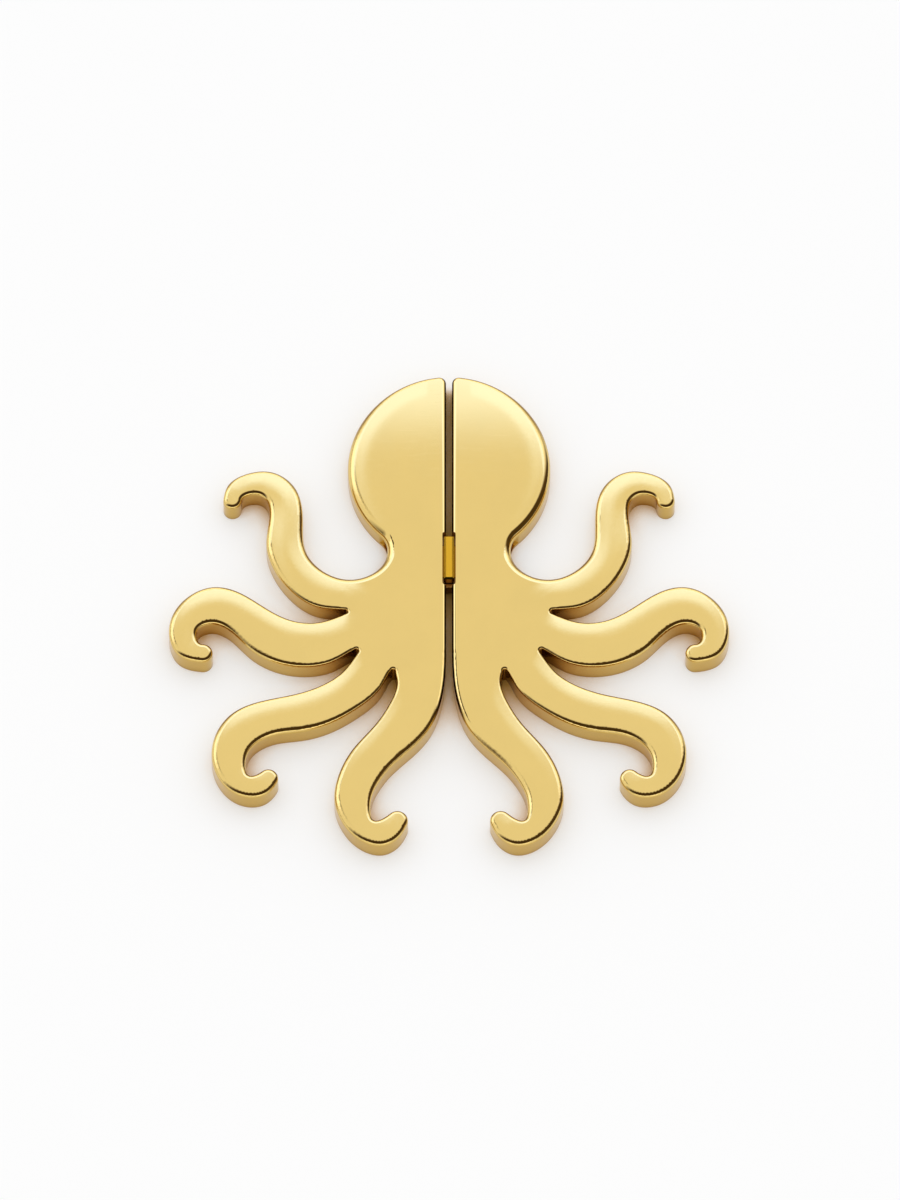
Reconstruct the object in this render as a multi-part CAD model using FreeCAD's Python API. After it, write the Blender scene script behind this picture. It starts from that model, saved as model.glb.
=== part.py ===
import FreeCAD, Part
import math
import os

# Octopus clasp: two mirror-image cast plates that lie on their flat backs, head towards +Y.
# A tongue fixed in the left plate runs across the gap into the right plate, where a spring leaf
# catches it. The button in the gap lets it go, and the right plate then slides off along +X.
# All outlines are drawn from the centre of the head. They are moved at the end, so that the
# origin lies under the middle of the whole object, on the face that it rests on.

V = FreeCAD.Vector

# Plates
PLATE_THICKNESS = 3.8
GAP_WIDTH = 0.86
GAP_CORNER_RADIUS = 0.95
HEAD_RADIUS = 14.5
NECK_FLARE = 0.88

# Radius of the rounded top rim, which changes smoothly along the outline
HEAD_RIM_RADIUS = 1.15
GAP_RIM_RADIUS = 0.6
ARM_RIM_RADIUS = 0.8
TIP_RIM_RADIUS = 0.65
CROTCH_RIM_RADIUS = 0.4

# Arms, from the highest to the lowest. Each grows between an upper root and a lower root: the
# neck, three crotches and the foot of the gap edge, which follow each other by their drops. Outs
# and reaches are measured from the middle line, and each swing from the arm's upper root.
ARM_1_REACH = 32.3
ARM_1_SWING = 10.25
ARM_1_LOBE_RADIUS = 1.3
ARM_2_REACH = 40.0
ARM_2_SWING = 4.02
ARM_2_LOBE_RADIUS = 1.42
ARM_3_REACH = 33.8
ARM_3_SWING = 23.33
ARM_3_LOBE_RADIUS = 1.42
ARM_4_REACH = 16.33
ARM_4_SWING = 27.7
ARM_4_LOBE_RADIUS = 1.52
CROTCH_1_OUT = 14.5
CROTCH_1_DROP = 12.15
CROTCH_2_OUT = 13.0
CROTCH_2_DROP = 6.04
CROTCH_3_OUT = 7.86
CROTCH_3_DROP = 3.13
GAP_FOOT_RISE = 3.2
CROTCH_RADIUS = 0.3

# Latch: the pocket for the button, the chamber for the tongue, and what runs in them
LATCH_DROP = 3.78
POCKET_LENGTH = 8.4
POCKET_WIDTH = 1.9
POCKET_CORNER_RADIUS = 0.4
BUTTON_LENGTH = 6.95
BUTTON_WIDTH = 1.37
BUTTON_CHAMFER = 0.27
BUTTON_CORNER_RADIUS = 0.35
BUTTON_PROUD = 0.35
BUTTON_TRAVEL = 0.6
BUTTON_FOOT_LENGTH = 5.0
BUTTON_FOOT_WIDTH = 3.0
BUTTON_FOOT_THICKNESS = 0.36
TONGUE_WIDTH = 8.2
TONGUE_THICKNESS = 1.9
TONGUE_HALF_LENGTH = 4.4
TONGUE_LEAD_IN = 0.3
CHAMBER_END_SPACE = 0.3
LEAF_THICKNESS = 0.25
LEAF_WIDTH = 4.6
LEAF_SEAT_LENGTH = 1.25
LEAF_BED_HEIGHT = 0.7
LUG_HEIGHT = 0.4
LUG_LENGTH = 0.3
LUG_PLAY = 0.12
LUG_RAMP = 0.2
LUG_SETBACK = 1.3
LEAF_END_SPACE = 0.1
RIVET_RADIUS = 0.35
RIVET_HEAD_RADIUS = 0.45
RIVET_HEAD_HEIGHT = 0.18
RIVET_SPACING = 2.8
TONGUE_PIN_RADIUS = 0.45
TONGUE_PIN_EDGE = 0.65
TONGUE_PIN_SPACING = 5.8
TONGUE_PIN_GRIP = 0.6

# Back covers and their screws
COVER_THICKNESS = 0.6
COVER_SIDE_LIP = 2.3
COVER_END_LIP = 0.65
COVER_CORNER_RADIUS = 0.6
COVER_SCREW_RADIUS = 0.5
COVER_SCREW_HEAD_RADIUS = 0.9
COVER_SCREW_HEAD_HEIGHT = 0.4
COVER_SCREW_LENGTH = 2.2
COVER_SCREW_EDGE = 1.05
SCREW_SLOT_WIDTH = 0.22
SCREW_SLOT_DEPTH = 0.2
SCREW_SINK = 0.05

# Strap sockets and the screws that clamp the strap. The neck is as wide as the sockets need.
STRAP_SOCKET_RISE = 0.5
STRAP_SOCKET_WALL = 0.9
STRAP_SOCKET_DEPTH = 3.22
STRAP_SOCKET_MOUTH = 3.68
STRAP_SOCKET_WIDTH = 7.0
STRAP_SOCKET_HEIGHT = 2.1
STRAP_SOCKET_FLOOR = 0.5
STRAP_SCREW_SPACING = 4.0
STRAP_SCREW_RADIUS = 0.7
STRAP_SCREW_HEAD_RADIUS = 1.1
STRAP_SCREW_HEAD_HEIGHT = 0.5
STRAP_SCREW_GRIP = 0.75

# Clearances
RUNNING_CLEARANCE = 0.05
FIT_CLEARANCE = 0.01
COVER_CLEARANCE = 0.03
BUTTON_STOP_CLEARANCE = 0.03
BUTTON_GUIDE_CLEARANCE = 0.1
SCREW_HEAD_CLEARANCE = 0.1
OVERRUN = 1.0

# Points of each arm's edges: how far out of a root, and how far up, as shares of what the arm
# reaches out of that root and of its swing. The outer edge and the hook, which is the far part of
# the inner edge, are measured from the upper root, and the rest of the inner edge from the lower.
ARMS = [
    {
        "reach": ARM_1_REACH,
        "swing": ARM_1_SWING,
        "lobe_radius": ARM_1_LOBE_RADIUS,
        "lobe_deg": (175.0, 355.0),
        "lobe_share": (0.943, 0.539),
        "outer_shares": [
            (-0.039, -0.211), (0.004, -0.473), (0.197, -0.668), (0.323, -0.600), (0.472, -0.259),
            (0.496, 0.300), (0.557, 0.777), (0.697, 0.987), (0.842, 0.965), (0.972, 0.775),
        ],
        "hook_shares": [(0.798, 0.633), (0.754, 0.604), (0.723, 0.530), (0.709, 0.403), (0.727, -0.141)],
        "inner_shares": [(0.590, 0.658), (0.467, 0.345), (0.245, 0.074)],
    },
    {
        "reach": ARM_2_REACH,
        "swing": ARM_2_SWING,
        "lobe_radius": ARM_2_LOBE_RADIUS,
        "lobe_deg": (265.0, 450.0),
        "lobe_share": (0.809, -1.625),
        "outer_shares": [
            (0.166, -0.434), (0.312, -0.344), (0.480, 0.257), (0.626, 0.842), (0.750, 1.000),
            (0.881, 0.675), (0.982, -0.146), (0.995, -1.037), (0.941, -1.708),
        ],
        "hook_shares": [(0.844, -0.812), (0.795, -0.509), (0.750, -0.471), (0.660, -0.732), (0.548, -1.440)],
        "inner_shares": [(0.435, -0.493), (0.286, -0.673), (0.127, -0.455)],
    },
    {
        "reach": ARM_3_REACH,
        "swing": ARM_3_SWING,
        "lobe_radius": ARM_3_LOBE_RADIUS,
        "lobe_deg": (335.0, 490.0),
        "lobe_share": (0.611, -0.867),
        "outer_shares": [
            (0.021, -0.049), (0.103, -0.149), (0.248, -0.241), (0.455, -0.304), (0.675, -0.347),
            (0.854, -0.421), (0.970, -0.560), (0.999, -0.720), (0.950, -0.865), (0.815, -0.979),
            (0.647, -0.984),
        ],
        "hook_shares": [(0.737, -0.849), (0.766, -0.755), (0.714, -0.648), (0.578, -0.576), (0.385, -0.549)],
        "inner_shares": [(0.353, -0.364), (0.199, -0.261), (0.066, -0.113)],
    },
    {
        "reach": ARM_4_REACH,
        "swing": ARM_4_SWING,
        "lobe_radius": ARM_4_LOBE_RADIUS,
        "lobe_deg": (335.0, 490.0),
        "lobe_share": (-0.061, -0.857),
        "outer_shares": [
            (-0.047, -0.056), (0.052, -0.182), (0.337, -0.321), (0.692, -0.451), (0.934, -0.601),
            (0.996, -0.739), (0.878, -0.856), (0.574, -0.964), (0.170, -0.998), (-0.134, -0.933),
        ],
        "hook_shares": [(0.320, -0.856), (0.390, -0.767), (0.292, -0.661), (0.052, -0.552)],
        "inner_shares": [(0.324, -0.571), (0.153, -0.456), (0.045, -0.298)],
    },
]

# Levels and places that follow from the sizes above
LEFT = -1
RIGHT = 1
QUARTER_DEG = 90.0
HALF_TURN_DEG = 180.0
HALF_GAP = GAP_WIDTH / 2
TONGUE_BOTTOM = COVER_THICKNESS + RUNNING_CLEARANCE
TONGUE_TOP = TONGUE_BOTTOM + TONGUE_THICKNESS
ROOF_LEVEL = TONGUE_TOP + RUNNING_CLEARANCE
CHAMBER_WIDTH = TONGUE_WIDTH + 2 * RUNNING_CLEARANCE
CHAMBER_END = TONGUE_HALF_LENGTH + CHAMBER_END_SPACE
COVER_END = CHAMBER_END + COVER_END_LIP
STRAP_SOCKET_START = CHAMBER_END + STRAP_SOCKET_WALL
STRAP_ROOF = STRAP_SOCKET_FLOOR + STRAP_SOCKET_HEIGHT
STRAP_SCREW_TOP = STRAP_ROOF + STRAP_SCREW_GRIP
NECK_OUT = STRAP_SOCKET_START + STRAP_SOCKET_DEPTH
STRAP_SCREW_OUT = (STRAP_SOCKET_START + NECK_OUT) / 2
NECK_START_DEG = HALF_TURN_DEG + math.degrees(math.acos((NECK_OUT + NECK_FLARE) / HEAD_RADIUS))
NECK_START = V(-(NECK_OUT + NECK_FLARE), HEAD_RADIUS * math.sin(math.radians(NECK_START_DEG)), 0)
CROTCH_1 = V(-CROTCH_1_OUT, NECK_START.y - CROTCH_1_DROP, 0)
CROTCH_2 = V(-CROTCH_2_OUT, CROTCH_1.y - CROTCH_2_DROP, 0)
CROTCH_3 = V(-CROTCH_3_OUT, CROTCH_2.y - CROTCH_3_DROP, 0)
GAP_FOOT = V(-HALF_GAP, CROTCH_3.y + GAP_FOOT_RISE, 0)
CROTCHES = [
    {"place": CROTCH_1, "axis_deg": 10.0, "spread_deg": 75.0},
    {"place": CROTCH_2, "axis_deg": 45.0, "spread_deg": 74.0},
    {"place": CROTCH_3, "axis_deg": 70.0, "spread_deg": 73.0},
]
LATCH_Y = NECK_START.y - LATCH_DROP
STRAP_Y = LATCH_Y + STRAP_SOCKET_RISE
TONGUE_PIN_X = TONGUE_PIN_EDGE - TONGUE_HALF_LENGTH
TONGUE_PIN_YS = (LATCH_Y - TONGUE_PIN_SPACING / 2, LATCH_Y + TONGUE_PIN_SPACING / 2)
TONGUE_PIN_TOP = ROOF_LEVEL + TONGUE_PIN_GRIP
LEAF_START = TONGUE_PIN_X + TONGUE_PIN_EDGE + LEAF_END_SPACE
LEAF_BED = TONGUE_BOTTOM + LEAF_BED_HEIGHT
LUG_X = TONGUE_HALF_LENGTH - LUG_SETBACK
LUG_TOP = ROOF_LEVEL + LUG_HEIGHT
RIVET_X = LEAF_START + LEAF_SEAT_LENGTH / 2
RIVET_YS = (LATCH_Y - RIVET_SPACING / 2, LATCH_Y + RIVET_SPACING / 2)
FOOT_TOP = ROOF_LEVEL - BUTTON_STOP_CLEARANCE
FOOT_BOTTOM = FOOT_TOP - BUTTON_FOOT_THICKNESS


def direction(angle_deg):
    angle = math.radians(angle_deg)
    return V(math.cos(angle), math.sin(angle), 0)


def arc(centre, radius, from_deg, to_deg):
    middle_deg = (from_deg + to_deg) / 2
    ends = [centre + direction(a) * radius for a in (from_deg, middle_deg, to_deg)]
    return Part.Arc(*ends).toShape()


def spline(points, start_direction, end_direction):
    """A smooth line through the points, as two edges that meet at its middle point."""
    curve = Part.BSplineCurve()
    curve.interpolate(
        Points=points, InitialTangent=start_direction, FinalTangent=end_direction, Scale=False
    )
    middle = curve.parameter(points[len(points) // 2])
    return curve.toShape(curve.FirstParameter, middle), curve.toShape(middle, curve.LastParameter)


def arm_points(arm, root, shares):
    reach = arm["reach"] + root.x
    return [root + V(-out * reach, up * arm["swing"], 0) for out, up in shares]


def head_edges():
    """The gap edge from its foot up, the corner above it, and the head round to the neck."""
    corner_out = -(HALF_GAP + GAP_CORNER_RADIUS)
    corner = V(corner_out, math.sqrt((HEAD_RADIUS - GAP_CORNER_RADIUS) ** 2 - corner_out ** 2), 0)
    corner_deg = math.degrees(math.atan2(corner.y, corner.x))
    side_deg = (corner_deg + NECK_START_DEG) / 2
    gap_edge = Part.makeLine(GAP_FOOT, V(-HALF_GAP, corner.y, 0))
    return [
        (gap_edge, GAP_RIM_RADIUS, GAP_RIM_RADIUS),
        (arc(corner, GAP_CORNER_RADIUS, 0, corner_deg), GAP_RIM_RADIUS, GAP_RIM_RADIUS),
        (arc(V(0, 0, 0), HEAD_RADIUS, corner_deg, side_deg), GAP_RIM_RADIUS, HEAD_RIM_RADIUS),
        (arc(V(0, 0, 0), HEAD_RADIUS, side_deg, NECK_START_DEG), HEAD_RIM_RADIUS, HEAD_RIM_RADIUS),
    ]


def arm_edges(arm, upper_root, start, lower_root, end):
    """One arm's outline: out along its outer edge, round the lobe at its tip, and back.

    Start and end each hold a point, the outline's direction there and the rim radius there.
    """
    start_point, start_direction, start_rim = start
    end_point, end_direction, end_rim = end
    lobe = arm_points(arm, upper_root, [arm["lobe_share"]])[0]
    from_deg, to_deg = arm["lobe_deg"]
    tip = arc(lobe, arm["lobe_radius"], from_deg, to_deg)
    lobe_start = lobe + direction(from_deg) * arm["lobe_radius"]
    lobe_end = lobe + direction(to_deg) * arm["lobe_radius"]
    outer = arm_points(arm, upper_root, arm["outer_shares"])
    inner = arm_points(arm, upper_root, arm["hook_shares"])
    inner += arm_points(arm, lower_root, arm["inner_shares"])
    lobe_heading = direction(from_deg + QUARTER_DEG)
    hook_heading = direction(to_deg + QUARTER_DEG)
    out_near, out_far = spline([start_point] + outer + [lobe_start], start_direction, lobe_heading)
    back_far, back_near = spline([lobe_end] + inner + [end_point], hook_heading, end_direction)
    return [
        (out_near, start_rim, ARM_RIM_RADIUS),
        (out_far, ARM_RIM_RADIUS, TIP_RIM_RADIUS),
        (tip, TIP_RIM_RADIUS, TIP_RIM_RADIUS),
        (back_far, TIP_RIM_RADIUS, ARM_RIM_RADIUS),
        (back_near, ARM_RIM_RADIUS, end_rim),
    ]


def left_edges():
    """The left plate's outline, anticlockwise: each edge, and the rim radius at both its ends."""
    edges = head_edges()
    upper_root = NECK_START
    start = (NECK_START, direction(NECK_START_DEG + QUARTER_DEG), HEAD_RIM_RADIUS)
    for arm, crotch in zip(ARMS, CROTCHES):
        root = crotch["place"]
        turn_start = crotch["axis_deg"] + crotch["spread_deg"]
        turn_end = crotch["axis_deg"] - crotch["spread_deg"]
        turn = root - direction(crotch["axis_deg"]) * CROTCH_RADIUS
        end_point = turn + direction(turn_start) * CROTCH_RADIUS
        end = (end_point, direction(turn_start - QUARTER_DEG), CROTCH_RIM_RADIUS)
        edges += arm_edges(arm, upper_root, start, root, end)
        edges.append((arc(turn, CROTCH_RADIUS, turn_start, turn_end), CROTCH_RIM_RADIUS, CROTCH_RIM_RADIUS))
        start_point = turn + direction(turn_end) * CROTCH_RADIUS
        start = (start_point, direction(turn_end - QUARTER_DEG), CROTCH_RIM_RADIUS)
        upper_root = root
    edges += arm_edges(ARMS[-1], upper_root, start, GAP_FOOT, (GAP_FOOT, V(0, 1, 0), GAP_RIM_RADIUS))
    return edges


def left_blank():
    """The left plate before anything is cut into it, with its top rim rounded."""
    edges = left_edges()
    plate = Part.Face(Part.Wire([edge for edge, _, _ in edges])).extrude(V(0, 0, PLATE_THICKNESS))
    document = FreeCAD.newDocument()
    base = document.addObject("Part::Feature", "base")
    base.Shape = plate
    rim = document.addObject("Part::Fillet", "rim")
    rim.Base = base
    radii = []
    for number, top_edge in enumerate(plate.Edges, 1):
        if top_edge.BoundBox.ZMin > PLATE_THICKNESS / 2:
            foot = top_edge.CenterOfMass - V(0, 0, PLATE_THICKNESS)
            _, start_rim, end_rim = min(edges, key=lambda item: item[0].CenterOfMass.distanceToPoint(foot))
            radii.append((number, start_rim, end_rim))
    rim.Edges = radii
    document.recompute()
    return rim.Shape.copy()


def slab(xs, ys, zs, radius=0):
    """A box between two places on each axis, with its upright edges rounded by the radius."""
    low = V(min(xs), min(ys), min(zs))
    size = V(max(xs), max(ys), max(zs)) - low
    box = Part.makeBox(size.x, size.y, size.z, low)
    if radius == 0:
        return box
    upright = [edge for edge in box.Edges if edge.BoundBox.ZLength > size.z / 2]
    return box.makeFillet(radius, upright)


def about(centre, width):
    return (centre - width / 2, centre + width / 2)


def rod(x, y, radius, z_from, z_to):
    return Part.makeCylinder(radius, z_to - z_from, V(x, y, z_from))


def close_hole(x, y, radius, z_from, z_to):
    """The hole for a screw, pin or rivet of that radius and reach."""
    return rod(x, y, radius + FIT_CLEARANCE, z_from, z_to + FIT_CLEARANCE)


def cover_screw_places(side):
    near = HALF_GAP + COVER_SCREW_EDGE
    far = COVER_END - COVER_SCREW_EDGE
    up = (CHAMBER_WIDTH + COVER_SIDE_LIP) / 2
    return [(side * out, LATCH_Y + step) for out in (near, far) for step in (-up, up)]


def strap_screw_places(side):
    return [(side * STRAP_SCREW_OUT, y) for y in about(STRAP_Y, STRAP_SCREW_SPACING)]


def cover_blank(side, clearance):
    """A back cover's outline, made larger by the clearance on the three sides that it fits in."""
    end = side * (COVER_END + clearance)
    past_gap = side * (HALF_GAP - COVER_CORNER_RADIUS - OVERRUN)
    ys = about(LATCH_Y, CHAMBER_WIDTH + 2 * (COVER_SIDE_LIP + clearance))
    zs = (0, COVER_THICKNESS)
    rounded = slab((past_gap, end), ys, zs, COVER_CORNER_RADIUS)
    return rounded.common(slab((side * HALF_GAP, end), ys, zs))


def plate(blank, side):
    """One plate with its button pocket, tongue chamber, cover seat, strap socket and screw holes."""
    pocket_zs = (ROOF_LEVEL, PLATE_THICKNESS + OVERRUN)
    pocket = slab(about(0, POCKET_WIDTH), about(LATCH_Y, POCKET_LENGTH), pocket_zs, POCKET_CORNER_RADIUS)
    chamber_ys = about(LATCH_Y, CHAMBER_WIDTH)
    chamber = slab((0, side * CHAMBER_END), chamber_ys, (-OVERRUN, ROOF_LEVEL))
    socket_xs = (side * STRAP_SOCKET_START, side * (NECK_OUT + STRAP_SOCKET_MOUTH))
    socket = slab(socket_xs, about(STRAP_Y, STRAP_SOCKET_WIDTH), (STRAP_SOCKET_FLOOR, STRAP_ROOF))
    cuts = [pocket, chamber, socket, cover_blank(side, COVER_CLEARANCE)]
    for x, y in cover_screw_places(side):
        cuts.append(close_hole(x, y, COVER_SCREW_RADIUS, 0, COVER_SCREW_LENGTH))
    head_hole_radius = STRAP_SCREW_HEAD_RADIUS + SCREW_HEAD_CLEARANCE
    for x, y in strap_screw_places(side):
        cuts.append(rod(x, y, head_hole_radius, -OVERRUN, STRAP_SOCKET_FLOOR))
        cuts.append(close_hole(x, y, STRAP_SCREW_RADIUS, STRAP_ROOF, STRAP_SCREW_TOP))
    if side == LEFT:
        for y in TONGUE_PIN_YS:
            cuts.append(close_hole(TONGUE_PIN_X, y, TONGUE_PIN_RADIUS, 0, TONGUE_PIN_TOP))
    else:
        keeper_xs = (LUG_X - LUG_PLAY, LUG_X + LUG_LENGTH + 2 * LUG_PLAY)
        keeper_ys = about(LATCH_Y, LEAF_WIDTH + 2 * LUG_PLAY)
        cuts.append(slab(keeper_xs, keeper_ys, (ROOF_LEVEL - RUNNING_CLEARANCE, LUG_TOP + LUG_PLAY)))
    for cut in cuts:
        blank = blank.cut(cut)
    return blank


def tongue():
    """The flat bar across the gap, hollowed for the leaf and for the button above it."""
    bar_xs = about(0, 2 * TONGUE_HALF_LENGTH)
    bar = slab(bar_xs, about(LATCH_Y, TONGUE_WIDTH), (TONGUE_BOTTOM, TONGUE_TOP))
    upright = [edge for edge in bar.Edges if edge.BoundBox.ZLength > TONGUE_THICKNESS / 2]
    bar = bar.makeChamfer(TONGUE_LEAD_IN, [edge for edge in upright if edge.CenterOfMass.x > 0])
    bed_xs = (LEAF_START - RUNNING_CLEARANCE, TONGUE_HALF_LENGTH + OVERRUN)
    bed_ys = about(LATCH_Y, BUTTON_FOOT_LENGTH + 2 * BUTTON_GUIDE_CLEARANCE)
    bed = slab(bed_xs, bed_ys, (LEAF_BED, TONGUE_TOP + OVERRUN))
    well_xs = about(0, BUTTON_WIDTH + 2 * BUTTON_GUIDE_CLEARANCE)
    well_ys = about(LATCH_Y, BUTTON_LENGTH + 2 * BUTTON_GUIDE_CLEARANCE)
    well_floor = FOOT_TOP - BUTTON_TRAVEL - RUNNING_CLEARANCE
    well = slab(well_xs, well_ys, (well_floor, TONGUE_TOP + OVERRUN))
    bar = bar.cut(bed).cut(well)
    for y in TONGUE_PIN_YS:
        bar = bar.cut(close_hole(TONGUE_PIN_X, y, TONGUE_PIN_RADIUS, 0, TONGUE_PIN_TOP))
    for y in RIVET_YS:
        bar = bar.cut(close_hole(RIVET_X, y, RIVET_RADIUS, 0, TONGUE_TOP))
    return bar


def catch_leaf():
    """The spring leaf: a seat on the tongue, a rise that carries the button's foot, and a lug."""
    seat_end = LEAF_START + LEAF_SEAT_LENGTH
    seat_top = LEAF_BED + LEAF_THICKNESS
    rise = (FOOT_BOTTOM - FIT_CLEARANCE - seat_top) / (BUTTON_FOOT_WIDTH / 2 - seat_end)
    lug_end = LUG_X + LUG_LENGTH
    profile = [
        (LEAF_START, LEAF_BED),
        (seat_end, LEAF_BED),
        (lug_end, LEAF_BED + rise * (lug_end - seat_end)),
        (lug_end, LUG_TOP - LUG_RAMP),
        (LUG_X, LUG_TOP),
        (LUG_X, seat_top + rise * (LUG_X - seat_end)),
        (seat_end, seat_top),
        (LEAF_START, seat_top),
    ]
    y = LATCH_Y - LEAF_WIDTH / 2
    points = [V(x, y, z) for x, z in profile]
    leaf = Part.Face(Part.makePolygon(points + points[:1])).extrude(V(0, LEAF_WIDTH, 0))
    for rivet_y in RIVET_YS:
        leaf = leaf.cut(close_hole(RIVET_X, rivet_y, RIVET_RADIUS, 0, TONGUE_TOP))
    return leaf


def leaf_rivets():
    seat_top = LEAF_BED + LEAF_THICKNESS
    rivets = []
    for y in RIVET_YS:
        shank = rod(RIVET_X, y, RIVET_RADIUS, TONGUE_BOTTOM, seat_top)
        head = rod(RIVET_X, y, RIVET_HEAD_RADIUS, seat_top, seat_top + RIVET_HEAD_HEIGHT)
        rivets.append(shank.fuse(head))
    return rivets


def tongue_pins():
    return [rod(TONGUE_PIN_X, y, TONGUE_PIN_RADIUS, TONGUE_BOTTOM, TONGUE_PIN_TOP) for y in TONGUE_PIN_YS]


def release_button():
    """The long block in the gap, on a foot that the roofs of both chambers keep in."""
    top_zs = (FOOT_TOP, PLATE_THICKNESS + BUTTON_PROUD)
    top = slab(about(0, BUTTON_WIDTH), about(LATCH_Y, BUTTON_LENGTH), top_zs, BUTTON_CORNER_RADIUS)
    rim = [edge for edge in top.Edges if edge.BoundBox.ZMin > PLATE_THICKNESS]
    top = top.makeChamfer(BUTTON_CHAMFER, rim)
    foot = slab(about(0, BUTTON_FOOT_WIDTH), about(LATCH_Y, BUTTON_FOOT_LENGTH), (FOOT_BOTTOM, FOOT_TOP))
    return top.fuse(foot).removeSplitter()


def countersunk_head(x, y):
    """A cover screw's head, which narrows upwards from just inside the back face."""
    foot = V(x, y, SCREW_SINK)
    return Part.makeCone(COVER_SCREW_HEAD_RADIUS, COVER_SCREW_RADIUS, COVER_SCREW_HEAD_HEIGHT, foot)


def back_cover(side):
    cover = cover_blank(side, 0)
    for x, y in cover_screw_places(side):
        cover = cover.cut(countersunk_head(x, y)).cut(rod(x, y, COVER_SCREW_HEAD_RADIUS, 0, SCREW_SINK))
        cover = cover.cut(close_hole(x, y, COVER_SCREW_RADIUS, 0, COVER_THICKNESS))
    return cover


def driver_slot(x, y, head_radius):
    return slab(about(x, 2 * head_radius), about(y, SCREW_SLOT_WIDTH), (0, SCREW_SINK + SCREW_SLOT_DEPTH))


def cover_screws(side):
    screws = []
    head_top = SCREW_SINK + COVER_SCREW_HEAD_HEIGHT
    for x, y in cover_screw_places(side):
        shank = rod(x, y, COVER_SCREW_RADIUS, head_top, COVER_SCREW_LENGTH)
        screw = countersunk_head(x, y).fuse(shank)
        screws.append(screw.cut(driver_slot(x, y, COVER_SCREW_HEAD_RADIUS)))
    return screws


def strap_screws(side):
    screws = []
    head_top = SCREW_SINK + STRAP_SCREW_HEAD_HEIGHT
    for x, y in strap_screw_places(side):
        head = rod(x, y, STRAP_SCREW_HEAD_RADIUS, SCREW_SINK, head_top)
        shank = rod(x, y, STRAP_SCREW_RADIUS, head_top, STRAP_SCREW_TOP)
        screws.append(head.fuse(shank).cut(driver_slot(x, y, STRAP_SCREW_HEAD_RADIUS)))
    return screws


def main():
    os.makedirs("parts", exist_ok=True)
    blank = left_blank()
    nodes = {
        "left_plate": [plate(blank, LEFT)],
        "right_plate": [plate(blank.mirror(V(0, 0, 0), V(1, 0, 0)), RIGHT)],
        "tongue": [tongue()],
        "tongue_pins": tongue_pins(),
        "catch_leaf": [catch_leaf()],
        "leaf_rivets": leaf_rivets(),
        "release_button": [release_button()],
        "left_back_cover": [back_cover(LEFT)],
        "right_back_cover": [back_cover(RIGHT)],
        "left_cover_screws": cover_screws(LEFT),
        "right_cover_screws": cover_screws(RIGHT),
        "left_strap_screws": strap_screws(LEFT),
        "right_strap_screws": strap_screws(RIGHT),
    }
    reach = blank.optimalBoundingBox(False)
    to_middle = V(0, -(reach.YMin + reach.YMax) / 2, 0)
    for name, solids in nodes.items():
        for solid in solids:
            solid.translate(to_middle)
        shape = solids[0] if len(solids) == 1 else Part.makeCompound(solids)
        shape.exportStep("parts/" + name + ".step")
        print(name, len(shape.Solids), "solids", shape.isValid(), round(shape.Volume, 3))
    print("head centre at", round(to_middle.y, 4))


main()
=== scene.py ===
import bmesh
import bpy
import math
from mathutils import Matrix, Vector


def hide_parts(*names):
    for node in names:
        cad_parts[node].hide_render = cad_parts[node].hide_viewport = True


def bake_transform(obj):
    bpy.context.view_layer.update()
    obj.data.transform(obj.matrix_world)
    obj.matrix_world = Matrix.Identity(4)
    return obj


# Octopus clasp in polished yellow brass, lying on a white table under soft studio light.
# Steps are pairs of a position from 0 to 1 and the share or colour that a ramp has there.

MM = 0.001
BLACK = (0.0, 0.0, 0.0)
WHITE = (1.0, 1.0, 1.0)

CAMERA_ELEVATION_DEG = 64.2
CAMERA_DISTANCE = 3.0
CAMERA_TARGET = Vector((0.14, 3.27, 0.0)) * MM
FRAME_HEIGHT = 171.6 * MM
SENSOR_WIDTH = 36.0

# The catch leaf: where it bends, in how many strips, how high it rises at rest, and the play that
# its rising part has above the tongue. Whatever stands above the leaf's own thickness is its lug.
LEAF_BEND = (-1.75 * MM, 1.5 * MM)
LEAF_STRIPS = 12
LEAF_BOTTOM = 1.35 * MM
LEAF_THICKNESS = 0.25 * MM
LEAF_RISE = 0.6 * MM
LEAF_PLAY = 0.02 * MM
LEAF_LUG_DEPTH = 1.1

# The table is one large triangle just below the clasp, so that no seam runs across it
TABLE_REACH = 9.0
TABLE_TOP = -0.02 * MM
# Its colour by how open it lies: what is seen of it glows, the glow fades out in hollows as painted shade, and
# its shadow is painted warm as light bounced from the brass
TABLE_HOLLOW_REACH = 5.0 * MM
TABLE_HOLLOW_SAMPLES = 8
TABLE_GLOW = 0.36
TABLE_GLOW_SHADE_AND_BOUNCE_STEPS = ((0.10, BLACK), (0.24, (0.22, 0.13, 0.02)), (0.50, WHITE))
TABLE_LIT_BOUNCE_STEPS = ((0.26, (0.62, 0.34, 0.06)), (0.60, (0.62, 0.62, 0.62)))

# The reflector card above and behind the clasp, which brightens the top of the head
CARD_HEIGHT = 300 * MM
CARD_FRONT = 160 * MM
CARD_BACK = 480 * MM
CARD_HALF_WIDTH = 250 * MM
CARD_FADE = (169 * MM, 186 * MM)
CARD_COLOUR = (1.38, 1.68, 2.8)

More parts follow.
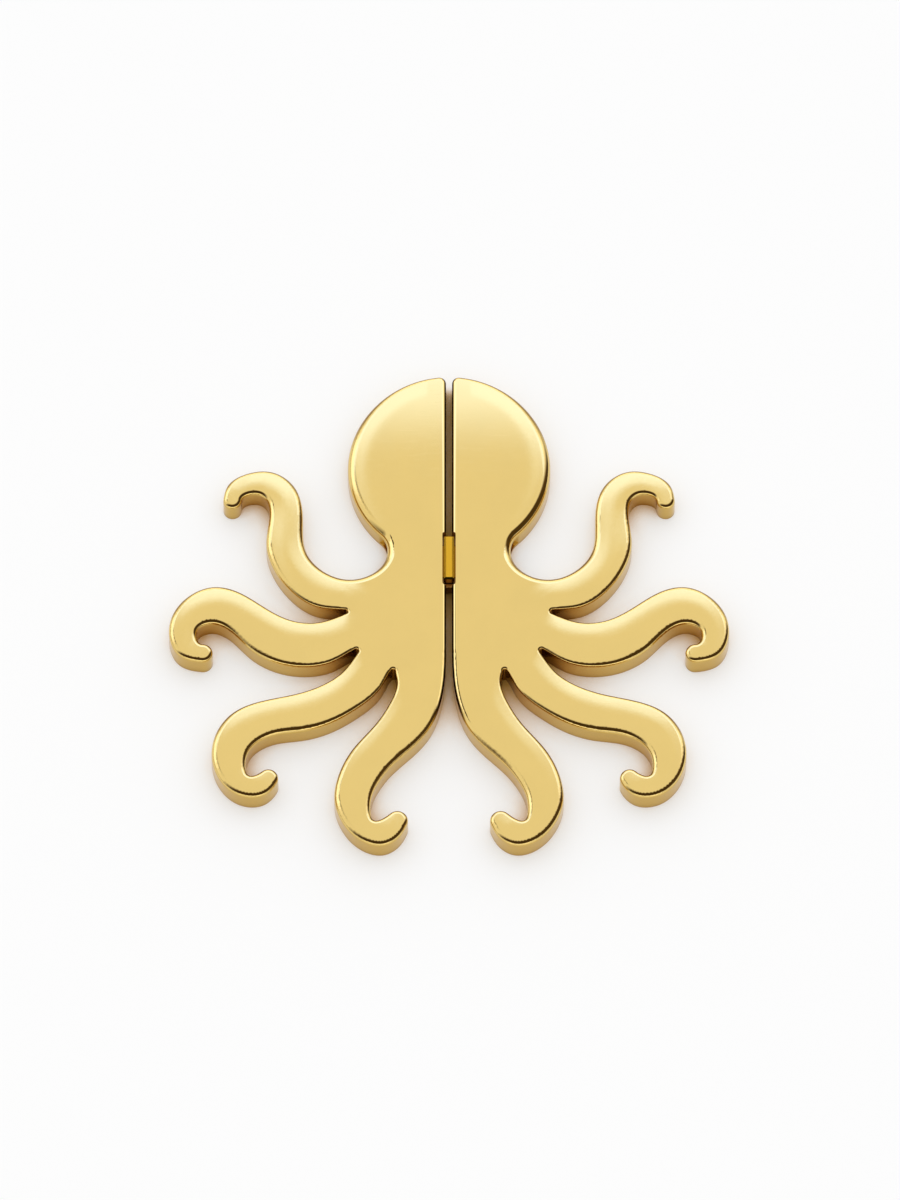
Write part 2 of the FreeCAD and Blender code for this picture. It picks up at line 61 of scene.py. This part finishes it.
# What polished metal sees in the room: a dark skirting, and panels that lie over one another. Each
# has limits of the direction's X, Y and Z, the width of its soft edge, and its colour.
SKIRTING_STEPS = ((0.03, 0.12), (0.10, 1.0))
PANELS = {
    "softbox behind": ((-0.28, 0.28), (0.36, 1.30), (0.12, 0.64), 0.16, (1.5, 1.53, 1.7)),
    "dark strip on the left": ((-0.44, -0.30), (0.28, 0.52), (0.60, 0.92), 0.03, (0.04, 0.03, 0.02)),
    "softbox on the left": ((-0.90, -0.46), (0.20, 0.66), (0.30, 0.76), 0.04, (1.7, 1.75, 2.2)),
    "softbox on the right": ((0.46, 0.80), (0.20, 0.66), (0.40, 0.76), 0.04, (1.5, 1.5, 1.7)),
    "flag in front": ((-0.80, 0.80), (-0.86, -0.36), (0.54, 0.88), 0.05, (0.75, 0.74, 0.70)),
    "low panel in front": ((-0.80, 0.80), (-1.30, -0.75), (0.12, 0.44), 0.06, (1.7, 1.7, 1.7)),
}
# The panels' edges wander a little, as reflections in cast metal do
RIPPLE = {"Scale": 2.6, "Detail": 1.0}
RIPPLE_SHIFT = 0.1
# The room's light on matt surfaces, from in front of the clasp to behind it
SKY_STEPS = ((0.0, 0.5), (1.0, 1.5))

# The plates' front is slightly pillowed by polishing: it rolls off over this width along its edges.
# The probes for the edges look sideways through the metal, and a little down from its surface.
PILLOW_WIDTH = 3.0 * MM
PILLOW_TILT = 0.15
PILLOW_PROBE_DROP = (-0.35, -0.35, -0.35)
PILLOW_PROBE_SAMPLES = 4
# In an ellipse over the tongue and strap chambers, and along the gap, the front stays flat
FLAT_CENTRE_Y = 7.5 * MM
FLAT_RADII = (14.0 * MM, 7.0 * MM)
FLAT_STEPS = ((0.40, 0.0), (0.75, 1.0))
FLAT_BESIDE_GAP = (3.0 * MM, 5.5 * MM)
# The rims along the gap have a painted dark reflection only on their inner half
CLEAN_BESIDE_GAP = (1.5 * MM, 2.5 * MM)

POLISHED = (0.807, 0.591, 0.205)
# The plates' side walls: a darker brass as painted shade
WALL_PAINTED_SHADE = (0.62, 0.40, 0.09)
# Painted shade in the metal's hollows
HOLLOW_PAINTED_SHADE = (0.30, 0.20, 0.08)
# Colours of the painted dark reflections along the rims
FRONT_RIM_DARK_REFLECTION = (0.08, 0.05, 0.02)
BLACK_RIM_REFLECTION = (0.015, 0.015, 0.015)
BACK_RIM_DARK_REFLECTION = (0.42, 0.32, 0.18)
BUTTON = (0.69, 0.385, 0.027)
TONGUE = (0.52, 0.33, 0.12)
SCREW = (0.60, 0.42, 0.15)
STEEL = (0.52, 0.52, 0.53)
BLUED_STEEL = (0.30, 0.30, 0.33)

# Walls and rims are told by how far the surface faces up: 0 for a wall, 1 for a level face
WALL_STEPS = ((0.0, 1.0), (0.15, 1.0), (0.50, 0.0))
# Where on the rims the painted dark reflections lie
FRONT_RIM_STEPS = ((0.62, 0.0), (0.69, 1.0), (0.955, 1.0), (0.985, 0.0))
BACK_RIM_STEPS = ((0.20, 0.0), (0.30, 1.0), (0.80, 1.0), (0.90, 0.0))
GAP_RIM_STEPS = ((0.03, 0.0), (0.12, 1.0), (0.76, 1.0), (0.86, 0.0))
# A rim's side is told by how far it faces the front, the back or either side of the clasp
FACES_FRONT_STEPS = ((0.10, 0.0), (0.28, 1.0))
FACES_BACK_STEPS = ((0.15, 0.0), (0.35, 1.0))
FACES_ASIDE_STEPS = ((0.35, 0.0), (0.50, 1.0))
RIGHT_RIM_SHARE = 0.5

# Painted shade in hollows, by how open they lie
HOLLOW_REACH = 2.2 * MM
HOLLOW_SAMPLES = 6
HOLLOW_SHADE_STEPS = ((0.12, HOLLOW_PAINTED_SHADE), (0.70, WHITE))
# Wear: clouds of tarnish, fine scratches along the two axes, and the grain of cast walls. The
# scales are in waves per millimetre along X, Y and Z.
CLOUDS = {"scale": (0.18, 0.18, 0.18), "detail": 4.0}
TARNISH_STEPS = ((0.35, 0.0), (0.75, 1.0))
TARNISH_SHARE = 0.3
TARNISHED = 0.9
SCRATCHES_ALONG_X = {"scale": (0.25, 9.0, 9.0), "detail": 2.0}
SCRATCHES_ALONG_Y = {"scale": (9.0, 0.3, 9.0), "detail": 2.0}
SCRATCH_STEPS = ((0.62, 0.0), (0.72, 1.0))
GRAIN = {"scale": (3.2, 3.2, 3.2), "detail": 5.0, "roughness": 0.6}
TARNISH_ROUGHNESS = 0.02
SCRATCH_ROUGHNESS = 0.03
SCRATCH_HEIGHT = 0.02
GRAIN_HEIGHT = 0.6
BUMP_STRENGTH = 0.35
BUMP_DISTANCE = 0.03 * MM


def feed(tree, socket, value):
    """Link the socket to a node's output, or set it to a plain value."""
    if isinstance(value, bpy.types.NodeSocket):
        tree.links.new(value, socket)
    else:
        socket.default_value = value


def linked(tree, kind, **inputs):
    """A new node with its named inputs fed."""
    node = tree.nodes.new(kind)
    for name, value in inputs.items():
        feed(tree, node.inputs[name.replace("_", " ")], value)
    return node


def operate(tree, kind, operation, values):
    node = tree.nodes.new(kind)
    node.operation = operation
    for socket, value in zip(node.inputs, values):
        feed(tree, socket, value)
    return node.outputs[0]


def math_node(tree, operation, *values):
    return operate(tree, "ShaderNodeMath", operation, values)


def vector_math(tree, operation, *values):
    return operate(tree, "ShaderNodeVectorMath", operation, values)


def multiply(tree, first, *others):
    product = first
    for factor in others:
        product = math_node(tree, "MULTIPLY", product, factor)
    return product


def half_range(tree, value):
    """A value from -1 to 1, brought to 0 to 1 for a ramp."""
    return math_node(tree, "MULTIPLY_ADD", value, 0.5, 0.5)


def ramp(tree, factor, steps):
    """A ramp through steps of colours, or of plain shares."""
    node = tree.nodes.new("ShaderNodeValToRGB")
    elements = node.color_ramp.elements
    while len(elements) < len(steps):
        elements.new(0.5)
    for element, (position, colour) in zip(elements, steps):
        element.position = position
        element.color = (*colour, 1.0) if isinstance(colour, tuple) else (colour, colour, colour, 1.0)
    tree.links.new(factor, node.inputs["Fac"])
    return node.outputs["Color"]


def map_range(tree, value, limits, interpolation):
    """0 below the first limit, rising to 1 at the second."""
    node = tree.nodes.new("ShaderNodeMapRange")
    node.interpolation_type = interpolation
    node.inputs["From Min"].default_value = limits[0]
    node.inputs["From Max"].default_value = limits[1]
    tree.links.new(value, node.inputs["Value"])
    return node.outputs["Result"]


def mix_colours(tree, factor, a, b):
    """From colour a at factor 0 to colour b at 1. The node's colour sockets have no names of their own."""
    node = tree.nodes.new("ShaderNodeMix")
    node.data_type = "RGBA"
    feed(tree, node.inputs[0], factor)
    for socket, colour in ((node.inputs[6], a), (node.inputs[7], b)):
        feed(tree, socket, (*colour, 1.0) if isinstance(colour, tuple) else colour)
    return node.outputs[2]


def multiply_colours(tree, a, b):
    product = mix_colours(tree, 1.0, a, b)
    product.node.blend_type = "MULTIPLY"
    return product


def place_on_object(tree):
    """A point's place on its object, as X, Y and Z."""
    place = tree.nodes.new("ShaderNodeTexCoord").outputs["Object"]
    return linked(tree, "ShaderNodeSeparateXYZ", Vector=place).outputs


def noise(tree, scale, detail, roughness=0.5):
    """Noise that is fixed to the object itself, with its own number of waves per millimetre on each axis."""
    place = tree.nodes.new("ShaderNodeTexCoord").outputs["Object"]
    mapping = linked(tree, "ShaderNodeMapping", Vector=place, Scale=[s / MM for s in scale])
    vector = mapping.outputs["Vector"]
    node = linked(tree, "ShaderNodeTexNoise", Vector=vector, Scale=1.0, Detail=detail, Roughness=roughness)
    return node.outputs["Fac"]


def openness(tree, reach, samples, **inputs):
    """A node that gives how open a point lies, from 0 in a deep hollow to 1, within the reach."""
    node = linked(tree, "ShaderNodeAmbientOcclusion", Distance=reach, **inputs)
    node.samples = samples
    return node


def free_metal(tree, normal, direction):
    """The share of the metal on one side of a point that goes on for the pillow's width."""
    towards = vector_math(tree, "MULTIPLY_ADD", normal, PILLOW_PROBE_DROP, direction)
    probe = openness(tree, PILLOW_WIDTH, PILLOW_PROBE_SAMPLES, Normal=towards)
    probe.only_local = True
    return probe.outputs["AO"]


def lean(tree, normal, axis, tilt):
    """How far the normal leans along an axis: towards the side on which the metal ends sooner."""
    behind = free_metal(tree, normal, tuple(-part for part in axis))
    ahead = free_metal(tree, normal, axis)
    return math_node(tree, "MULTIPLY", math_node(tree, "SUBTRACT", behind, ahead), tilt)


def pillowed(tree, normal, smooth_normal, share):
    """The normal, leaning outwards near the plate's edges."""
    tilt = math_node(tree, "MULTIPLY", share, PILLOW_TILT)
    lean_x = lean(tree, normal, (1.0, 0.0, 0.0), tilt)
    lean_y = lean(tree, normal, (0.0, 1.0, 0.0), tilt)
    leaning = linked(tree, "ShaderNodeCombineXYZ", X=lean_x, Y=lean_y).outputs[0]
    return vector_math(tree, "NORMALIZE", vector_math(tree, "ADD", smooth_normal, leaning))


def away_from_gap(tree, limits):
    """0 beside the gap between the plates, rising to 1 between two distances from it."""
    distance = math_node(tree, "ABSOLUTE", place_on_object(tree)["X"])
    return map_range(tree, distance, limits, "LINEAR")


def pillow_share(tree):
    """1 where the front may roll off, 0 where it stays flat, by the place on the plate."""
    place = place_on_object(tree)
    x = math_node(tree, "DIVIDE", place["X"], FLAT_RADII[0])
    y = math_node(tree, "DIVIDE", math_node(tree, "SUBTRACT", place["Y"], FLAT_CENTRE_Y), FLAT_RADII[1])
    reach = math_node(tree, "ADD", multiply(tree, x, x), multiply(tree, y, y))
    beyond_chambers = ramp(tree, math_node(tree, "MULTIPLY", reach, 0.5), FLAT_STEPS)
    return multiply(tree, beyond_chambers, away_from_gap(tree, FLAT_BESIDE_GAP))


def tint(tree, colour, *shares):
    """White that turns into the colour with the product of the shares."""
    return mix_colours(tree, multiply(tree, *shares), WHITE, colour)


def plain_rim_painted_reflection(tree, facing, upness):
    """Painted dark reflection on the rims that face the front."""
    in_front = ramp(tree, math_node(tree, "MULTIPLY", facing["Y"], -1.0), FACES_FRONT_STEPS)
    return tint(tree, BLACK_RIM_REFLECTION, ramp(tree, upness, FRONT_RIM_STEPS), in_front)


def plate_rim_painted_reflection(tree, facing, upness):
    """Painted dark reflection on the rims in front and on the right, on the foot of those behind, and in the
    gap.
    """
    clear_of_gap = away_from_gap(tree, CLEAN_BESIDE_GAP)
    on_the_right = multiply(tree, facing["X"], RIGHT_RIM_SHARE, clear_of_gap)
    in_front = ramp(tree, math_node(tree, "SUBTRACT", on_the_right, facing["Y"]), FACES_FRONT_STEPS)
    front_rim_reflection = tint(tree, FRONT_RIM_DARK_REFLECTION, ramp(tree, upness, FRONT_RIM_STEPS), in_front)
    behind = ramp(tree, facing["Y"], FACES_BACK_STEPS)
    back_rim_reflection = tint(tree, BACK_RIM_DARK_REFLECTION, ramp(tree, upness, BACK_RIM_STEPS), behind)
    aside = ramp(tree, math_node(tree, "ABSOLUTE", facing["X"]), FACES_ASIDE_STEPS)
    beside_gap = math_node(tree, "SUBTRACT", 1.0, clear_of_gap)
    gap_rim_reflection = tint(tree, FRONT_RIM_DARK_REFLECTION, ramp(tree, upness, GAP_RIM_STEPS), aside, beside_gap)
    return multiply_colours(tree, multiply_colours(tree, front_rim_reflection, back_rim_reflection), gap_rim_reflection)


def metal(name, colour, wall_colour, roughness, wall_roughness, wear, plate=False):
    """Polished metal: walls are duller than the top and darker as painted shade, hollows get painted shade,
    rims get painted dark reflections, and all of it has fine wear.
    """
    material = bpy.data.materials.new(name)
    material.use_nodes = True
    tree = material.node_tree
    shader = tree.nodes["Principled BSDF"]
    shader.inputs["Metallic"].default_value = 1.0

    normal = tree.nodes.new("ShaderNodeNewGeometry").outputs["Normal"]
    facing = linked(tree, "ShaderNodeSeparateXYZ", Vector=normal).outputs
    upness = math_node(tree, "ABSOLUTE", facing["Z"])
    wallness = ramp(tree, upness, WALL_STEPS)

    tarnish = ramp(tree, noise(tree, **CLOUDS), TARNISH_STEPS)
    tarnished = tuple(part * TARNISHED for part in colour)
    top = mix_colours(tree, math_node(tree, "MULTIPLY", tarnish, TARNISH_SHARE), colour, tarnished)
    # Walls take the wall colour, which on the plates is painted shade
    body = mix_colours(tree, wallness, top, wall_colour)
    hollow = openness(tree, HOLLOW_REACH, HOLLOW_SAMPLES)
    # Painted shade: the colour darkens in hollows by how open they lie
    shaded = multiply_colours(tree, body, ramp(tree, hollow.outputs["AO"], HOLLOW_SHADE_STEPS))
    rim_reflection = plate_rim_painted_reflection if plate else plain_rim_painted_reflection
    # Painted dark reflections along the rims, by the way they face
    rim_reflected = multiply_colours(tree, shaded, rim_reflection(tree, facing, upness))
    tree.links.new(rim_reflected, shader.inputs["Base Color"])

    crossed = math_node(tree, "MAXIMUM", noise(tree, **SCRATCHES_ALONG_X), noise(tree, **SCRATCHES_ALONG_Y))
    scratches = ramp(tree, crossed, SCRATCH_STEPS)
    grain = noise(tree, **GRAIN)

    rough = math_node(tree, "MULTIPLY_ADD", tarnish, TARNISH_ROUGHNESS, roughness)
    rough = math_node(tree, "MULTIPLY_ADD", scratches, SCRATCH_ROUGHNESS, rough)
    rough = math_node(tree, "MULTIPLY_ADD", wallness, wall_roughness - roughness, rough)
    tree.links.new(rough, shader.inputs["Roughness"])

    fine = math_node(tree, "MULTIPLY", scratches, SCRATCH_HEIGHT * wear)
    coarse = multiply(tree, grain, wallness, GRAIN_HEIGHT * wear)
    height = math_node(tree, "ADD", fine, coarse)
    bump = linked(tree, "ShaderNodeBump", Height=height, Strength=BUMP_STRENGTH, Distance=BUMP_DISTANCE)
    final_normal = bump.outputs["Normal"]
    if plate:
        share = math_node(tree, "SUBTRACT", pillow_share(tree), wallness)
        share = math_node(tree, "MAXIMUM", share, 0.0)
        final_normal = pillowed(tree, normal, final_normal, share)
    tree.links.new(final_normal, shader.inputs["Normal"])
    return material


def glowing(tree, colour, strength):
    return linked(tree, "ShaderNodeEmission", Color=colour, Strength=strength).outputs[0]


def bare_material(name):
    """A material whose surface is still open."""
    material = bpy.data.materials.new(name)
    material.use_nodes = True
    tree = material.node_tree
    tree.nodes.remove(tree.nodes["Principled BSDF"])
    return material, tree, tree.nodes["Material Output"].inputs["Surface"]


def table_material():
    """A white table: the camera and the metal see it almost white, and it keeps a soft shadow. Hollows get
    painted shade and painted warm light bounced from the brass.
    """
    material, tree, surface = bare_material("table_white")
    hollow = openness(tree, TABLE_HOLLOW_REACH, TABLE_HOLLOW_SAMPLES).outputs["AO"]
    # Painted warm bounce light: the matt colour turns brown in hollows beside the brass
    matt = linked(tree, "ShaderNodeBsdfDiffuse", Color=ramp(tree, hollow, TABLE_LIT_BOUNCE_STEPS)).outputs[0]
    # Painted shade and painted warm bounce light: the glow goes brown, then black, in hollows
    glow = glowing(tree, ramp(tree, hollow, TABLE_GLOW_SHADE_AND_BOUNCE_STEPS), TABLE_GLOW)
    rays = tree.nodes.new("ShaderNodeLightPath").outputs
    seen = math_node(tree, "MAXIMUM", rays["Is Camera Ray"], rays["Is Glossy Ray"])
    seen = math_node(tree, "MAXIMUM", seen, rays["Is Transmission Ray"])
    lit = tree.nodes.new("ShaderNodeAddShader")
    tree.links.new(matt, lit.inputs[0])
    tree.links.new(glow, lit.inputs[1])
    choice = linked(tree, "ShaderNodeMixShader", Fac=seen)
    tree.links.new(matt, choice.inputs[1])
    tree.links.new(lit.outputs[0], choice.inputs[2])
    tree.links.new(choice.outputs[0], surface)
    return material


def card_material():
    """A glow that fades in from the brightness of the room to the card's own colour."""
    material, tree, surface = bare_material("card_glow")
    fade = map_range(tree, place_on_object(tree)["Y"], CARD_FADE, "SMOOTHSTEP")
    tree.links.new(glowing(tree, mix_colours(tree, fade, WHITE, CARD_COLOUR), 1.0), surface)
    return material


def between(tree, value, low, high, soft):
    """1 where the value lies between two limits, fading to 0 outside them over the soft width."""
    places = (low - soft, low, high, high + soft)
    shares = (0.0, 1.0, 1.0, 0.0)
    return ramp(tree, half_range(tree, value), [(0.5 + p / 2, share) for p, share in zip(places, shares)])


def lay_over(tree, under, direction, limits, soft, colour):
    """The room with one more panel in it, between limits of the direction's parts."""
    inside = [between(tree, direction[part], *ends, soft) for part, ends in zip("XYZ", limits)]
    return mix_colours(tree, multiply(tree, *inside), under, colour)


def studio_world():
    """A soft white room for matt surfaces. Metal sees the skirting and the panels in it instead."""
    world = bpy.data.worlds.new("studio")
    bpy.context.scene.world = world
    world.use_nodes = True
    tree = world.node_tree
    place = tree.nodes.new("ShaderNodeTexCoord").outputs["Generated"]
    ripple = linked(tree, "ShaderNodeTexNoise", Vector=place, **RIPPLE)
    shift = vector_math(
        tree, "MULTIPLY_ADD", ripple.outputs["Color"], [2 * RIPPLE_SHIFT] * 3, [-RIPPLE_SHIFT] * 3,
    )
    rippled = vector_math(tree, "ADD", place, shift)
    direction = linked(tree, "ShaderNodeSeparateXYZ", Vector=rippled).outputs

    seen = ramp(tree, direction["Z"], SKIRTING_STEPS)
    for *limits, soft, colour in PANELS.values():
        seen = lay_over(tree, seen, direction, limits, soft, colour)
    sky = ramp(tree, half_range(tree, direction["Y"]), SKY_STEPS)
    rays = tree.nodes.new("ShaderNodeLightPath").outputs
    light = mix_colours(tree, rays["Is Camera Ray"], sky, WHITE)
    background = tree.nodes["Background"]
    background.inputs["Strength"].default_value = 1.0
    tree.links.new(mix_colours(tree, rays["Is Glossy Ray"], light, seen), background.inputs["Color"])


def place_in_scene(name, data):
    obj = bpy.data.objects.new(name, data)
    bpy.context.scene.collection.objects.link(obj)
    return obj


def flat_object(name, corners, material):
    """One flat face through the corners."""
    mesh = bpy.data.meshes.new(name)
    mesh.from_pydata(corners, [], [list(range(len(corners)))])
    mesh.materials.append(material)
    return place_in_scene(name, mesh)


def reflector_card():
    """A glowing card that only polished metal sees."""
    card = flat_object("reflector_card", [
        (-CARD_HALF_WIDTH, CARD_FRONT, CARD_HEIGHT),
        (CARD_HALF_WIDTH, CARD_FRONT, CARD_HEIGHT),
        (CARD_HALF_WIDTH, CARD_BACK, CARD_HEIGHT),
        (-CARD_HALF_WIDTH, CARD_BACK, CARD_HEIGHT),
    ], card_material())
    card.visible_camera = False
    card.visible_diffuse = False
    card.visible_shadow = False


def table():
    floor = flat_object("table", [
        (-TABLE_REACH, -TABLE_REACH / 2, 0.0),
        (TABLE_REACH, -TABLE_REACH / 2, 0.0),
        (0.0, TABLE_REACH, 0.0),
    ], table_material())
    floor.location.z = TABLE_TOP


def camera():
    data = bpy.data.cameras.new("camera")
    data.sensor_width = SENSOR_WIDTH
    data.lens = SENSOR_WIDTH * CAMERA_DISTANCE / FRAME_HEIGHT
    obj = place_in_scene("camera", data)
    elevation = math.radians(CAMERA_ELEVATION_DEG)
    away = Vector((0.0, -math.cos(elevation), math.sin(elevation)))
    obj.location = CAMERA_TARGET + away * CAMERA_DISTANCE
    obj.rotation_euler = away.to_track_quat("Z", "Y").to_euler()
    bpy.context.scene.camera = obj


def bending_leaf(rigid_leaf, material):
    """The catch leaf in short strips. It rises in an S, so that it lies flat once the button is down."""
    leaf = place_in_scene("bending_leaf", rigid_leaf.data.copy())
    start, end = LEAF_BEND
    strips = bmesh.new()
    strips.from_mesh(leaf.data)
    for step in range(LEAF_STRIPS + 1):
        x = start + (end - start) * step / LEAF_STRIPS
        cut = strips.verts[:] + strips.edges[:] + strips.faces[:]
        bmesh.ops.bisect_plane(strips, geom=cut, plane_co=(x, 0.0, 0.0), plane_no=(1.0, 0.0, 0.0))
    for vertex in strips.verts:
        run = (vertex.co.x - start) / (end - start)
        depth = (vertex.co.z - LEAF_BOTTOM - LEAF_RISE * run) / LEAF_THICKNESS
        if run > 0 and depth < LEAF_LUG_DEPTH:
            share = min(run, 1.0)
            bend = share * share * (3 - 2 * share)
            bottom = LEAF_BOTTOM + (LEAF_RISE + LEAF_PLAY) * bend
            top = LEAF_BOTTOM + LEAF_THICKNESS + LEAF_RISE * bend
            vertex.co.z = bottom + (top - bottom) * depth
    strips.to_mesh(leaf.data)
    strips.free()
    leaf.data.materials.clear()
    leaf.data.materials.append(material)
    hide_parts("catch_leaf")
    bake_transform(leaf)


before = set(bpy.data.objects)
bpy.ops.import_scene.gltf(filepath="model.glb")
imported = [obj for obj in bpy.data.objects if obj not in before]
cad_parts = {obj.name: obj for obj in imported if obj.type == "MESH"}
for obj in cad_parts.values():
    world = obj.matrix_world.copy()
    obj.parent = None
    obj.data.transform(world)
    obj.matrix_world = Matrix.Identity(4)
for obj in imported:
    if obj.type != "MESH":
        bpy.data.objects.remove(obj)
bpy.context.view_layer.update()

camera()
table()
studio_world()
reflector_card()

polished = metal("polished_brass", POLISHED, WALL_PAINTED_SHADE, roughness=0.035, wall_roughness=0.16, wear=1.0, plate=True)
button = metal("button_brass", BUTTON, BUTTON, roughness=0.12, wall_roughness=0.20, wear=0.5)
tongue = metal("tongue_brass", TONGUE, TONGUE, roughness=0.25, wall_roughness=0.30, wear=0.6)
screw = metal("screw_brass", SCREW, SCREW, roughness=0.20, wall_roughness=0.25, wear=0.5)
pin = metal("pin_steel", STEEL, STEEL, roughness=0.20, wall_roughness=0.25, wear=0.5)
spring = metal("spring_steel", BLUED_STEEL, BLUED_STEEL, roughness=0.25, wall_roughness=0.30, wear=0.5)
FINISHES = {
    "left_plate": polished,
    "right_plate": polished,
    "left_back_cover": polished,
    "right_back_cover": polished,
    "left_cover_screws": screw,
    "right_cover_screws": screw,
    "left_strap_screws": screw,
    "right_strap_screws": screw,
    "release_button": button,
    "tongue": tongue,
    "tongue_pins": pin,
    "leaf_rivets": pin,
    "catch_leaf": spring,
}
for name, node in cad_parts.items():
    for slot in node.material_slots:
        slot.material = FINISHES[name]

bending_leaf(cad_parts["catch_leaf"], spring)

bpy.context.scene.view_settings.view_transform = "Standard"
